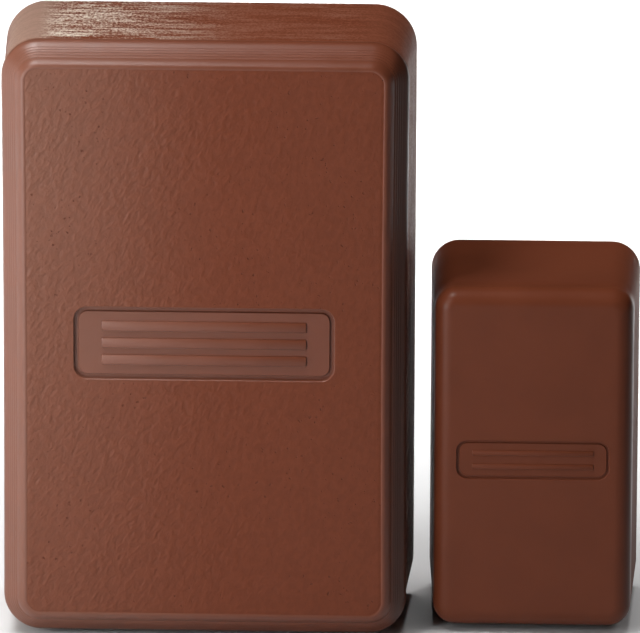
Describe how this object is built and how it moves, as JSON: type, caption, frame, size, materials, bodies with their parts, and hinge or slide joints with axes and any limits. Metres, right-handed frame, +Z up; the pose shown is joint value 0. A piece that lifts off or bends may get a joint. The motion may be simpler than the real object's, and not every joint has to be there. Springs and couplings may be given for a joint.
{
  "type": "wireless door contact sensor",
  "caption": "Brown door contact sensor: a battery transmitter housing with a hinged-off grained lid, a reed switch and board inside, beside a smaller magnet housing.",
  "frame": {"origin": "centre of the transmitter's flat mounting face, on the door frame's surface", "axes": "+Z up along the housings, +Y into the wall (the fronts face -Y), +X from the transmitter towards the magnet"},
  "size_m": [0.0684, 0.023, 0.0658],
  "materials": {
    "case_lid": "fine spark-eroded grain",
    "case_base": "coarse brushed grain",
    "case_magnet": "satin",
    "board_green": "solder mask",
    "steel": "plain",
    "nickel": "nickel plated",
    "cell_wrap": "printed film over steel",
    "reed_glass": "clear green glass",
    "black_plastic": "moulded",
    "ivory_plastic": "moulded",
    "led_red": "tinted epoxy",
    "copper": "bare copper wire",
    "gold": "gold plated",
    "terminal_green": "moulded",
    "ferrite": "sintered",
    "foam": "closed-cell foam"
  },
  "bodies": {
    "transmitter": {"transmitter_base": "case_base", "lid_latch": "case_base", "circuit_board": "board_green", "board_screws": "steel", "battery_cell": "cell_wrap", "battery_plate_plus": "nickel", "battery_plate_minus": "nickel", "battery_spring": "nickel", "reed_glass": "reed_glass", "reed_blade_upper": "nickel", "reed_blade_lower": "nickel", "tamper_switch": "black_plastic", "tamper_spring": "steel", "learn_button_body": "black_plastic", "status_led": "led_red", "antenna_coil": "copper", "rf_shield": "nickel", "controller_chip": "black_plastic", "crystal": "nickel", "capacitor": "steel", "jumper_header": "black_plastic", "jumper_pins": "gold", "jumper_link": "black_plastic", "terminal_block": "terminal_green", "terminal_clamps": "nickel"},
    "lid": {"transmitter_lid": "case_lid"},
    "tamper": {"tamper_plunger": "ivory_plastic"},
    "learn_button": {"learn_button_cap": "black_plastic"},
    "left_terminal_screw": {"terminal_screw_left": "steel"},
    "right_terminal_screw": {"terminal_screw_right": "steel"},
    "magnet_unit": {"magnet_base": "case_magnet", "bar_magnet": "ferrite", "magnet_foam": "foam"},
    "magnet_cover": {"magnet_cover": "case_magnet"}
  },
  "joints": [
    {"name": "lid_hinge", "type": "hinge", "parent": "transmitter", "child": "lid", "pos_m": [0, -0.016, 0.0326], "axis": [-1, 0, 0], "range_deg": [0, 110]},
    {"name": "tamper_slide", "type": "slide", "parent": "transmitter", "child": "tamper", "axis": [0, -1, 0], "range_m": [0, 0.0012], "deforming": ["tamper_spring"]},
    {"name": "learn_button_press", "type": "slide", "parent": "transmitter", "child": "learn_button", "axis": [0, 1, 0], "range_m": [0, 0.00025], "stiffness_N_per_m": 800},
    {"name": "left_screw_turn", "type": "hinge", "parent": "transmitter", "child": "left_terminal_screw", "pos_m": [0.0077, -0.014, -0.0232], "axis": [0, 1, 0], "continuous": true},
    {"name": "right_screw_turn", "type": "hinge", "parent": "transmitter", "child": "right_terminal_screw", "pos_m": [0.0127, -0.014, -0.0232], "axis": [0, 1, 0], "continuous": true},
    {"name": "door_travel", "type": "slide", "parent": "transmitter", "child": "magnet_unit", "axis": [0, -1, 0], "range_m": [0, 0.04]},
    {"name": "cover_pull", "type": "slide", "parent": "magnet_unit", "child": "magnet_cover", "axis": [0, -1, 0], "range_m": [0, 0.025]}
  ],
  "couplings": [
    {"joint": "tamper_slide", "follows": "lid_hinge", "m_per_rad": 0.000625}
  ]
}
